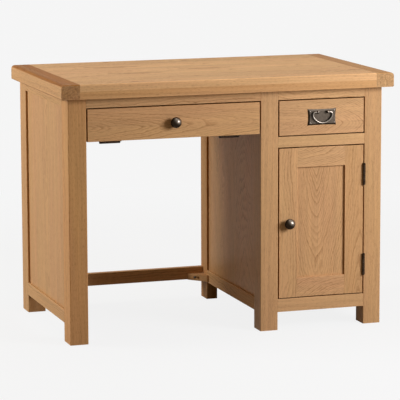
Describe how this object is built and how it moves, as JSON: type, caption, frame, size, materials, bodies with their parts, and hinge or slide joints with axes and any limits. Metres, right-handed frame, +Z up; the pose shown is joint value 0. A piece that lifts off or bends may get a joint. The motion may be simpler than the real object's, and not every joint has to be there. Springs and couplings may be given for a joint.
{
  "type": "kneehole desk",
  "caption": "Kneehole desk with one pedestal: a drop-front keyboard tray over the kneehole, a drawer with a bail handle and a framed cupboard door.",
  "frame": {"origin": "on the floor, under the middle of the desk's bounding box", "axes": "+Z up, the front with the drawer and door faces -Y, +X to the right seen from the front"},
  "size_m": [1.05, 0.605, 0.784],
  "materials": {
    "oak": "lacquered honey oak, satin",
    "inner_oak": "plain planed oak, satin",
    "pewter": "dark antique pewter, polished high spots",
    "hinge_steel": "dark bronzed",
    "runner_steel": "zinc plated"
  },
  "bodies": {
    "carcase": {"cupboard_floor": "inner_oak", "door_hinge_frame_leaves": "hinge_steel", "door_hinge_pins": "hinge_steel", "drawer_runners": "inner_oak", "kneehole_front_rail": "oak", "kneehole_rear_rail": "oak", "left_bottom_rail": "oak", "left_end_panel": "oak", "left_front_post": "oak", "left_rear_post": "oak", "left_top_rail": "oak", "pedestal_back_panel": "inner_oak", "pedestal_front_bottom_rail": "oak", "pedestal_front_left_post": "oak", "pedestal_front_middle_rail": "oak", "pedestal_front_right_post": "oak", "pedestal_front_top_rail": "oak", "pedestal_left_bottom_rail": "oak", "pedestal_left_panel": "oak", "pedestal_left_top_rail": "oak", "pedestal_rear_bottom_rail": "oak", "pedestal_rear_left_post": "oak", "pedestal_rear_right_post": "oak", "pedestal_rear_top_rail": "oak", "pedestal_right_bottom_rail": "oak", "pedestal_right_panel": "oak", "pedestal_right_top_rail": "oak", "rear_stretcher": "oak", "runner_battens": "inner_oak", "runner_outers": "runner_steel", "stretcher_blocks": "oak", "top_end_left": "oak", "top_end_right": "oak", "top_panel": "oak"},
    "runner_middle": {"runner_middles": "runner_steel"},
    "keyboard_tray": {"tray_board": "inner_oak", "tray_left_side": "inner_oak", "tray_right_side": "inner_oak", "tray_back": "inner_oak", "runner_inners": "runner_steel", "drop_hinge_tray_leaves": "hinge_steel", "drop_hinge_pins": "hinge_steel"},
    "drop_front": {"drop_front": "oak", "drop_front_knob": "pewter", "drop_hinge_front_leaves": "hinge_steel"},
    "drawer": {"drawer_front": "oak", "drawer_left_side": "inner_oak", "drawer_right_side": "inner_oak", "drawer_back": "inner_oak", "drawer_bottom": "inner_oak", "handle_plate": "pewter", "handle_posts": "pewter"},
    "bail": {"handle_bail": "pewter"},
    "door": {"door_lock_stile": "oak", "door_hinge_stile": "oak", "door_top_rail": "oak", "door_bottom_rail": "oak", "door_panel": "oak", "door_knob": "pewter", "door_hinge_door_leaves": "hinge_steel"}
  },
  "joints": [
    {"name": "tray_slide", "type": "slide", "parent": "carcase", "child": "keyboard_tray", "axis": [0, -1, 0], "range_m": [0, 0.3]},
    {"name": "runner_middle_slide", "type": "slide", "parent": "carcase", "child": "runner_middle", "axis": [0, -1, 0], "range_m": [0, 0.15]},
    {"name": "drop_front_hinge", "type": "hinge", "parent": "keyboard_tray", "child": "drop_front", "pos_m": [-0.169, -0.252, 0.6043], "axis": [1, 0, 0], "range_deg": [0, 90]},
    {"name": "drawer_slide", "type": "slide", "parent": "carcase", "child": "drawer", "axis": [0, -1, 0], "range_m": [0, 0.3]},
    {"name": "bail_hinge", "type": "hinge", "parent": "drawer", "child": "bail", "pos_m": [0.301, -0.28156, 0.669], "axis": [-1, 0, 0], "range_deg": [-4, 90]},
    {"name": "door_hinge", "type": "hinge", "parent": "carcase", "child": "door", "pos_m": [0.44025, -0.2768, 0.33025], "axis": [0, 0, 1], "range_deg": [0, 170]}
  ],
  "couplings": [
    {"joint": "runner_middle_slide", "follows": "tray_slide", "ratio": 0.5}
  ]
}
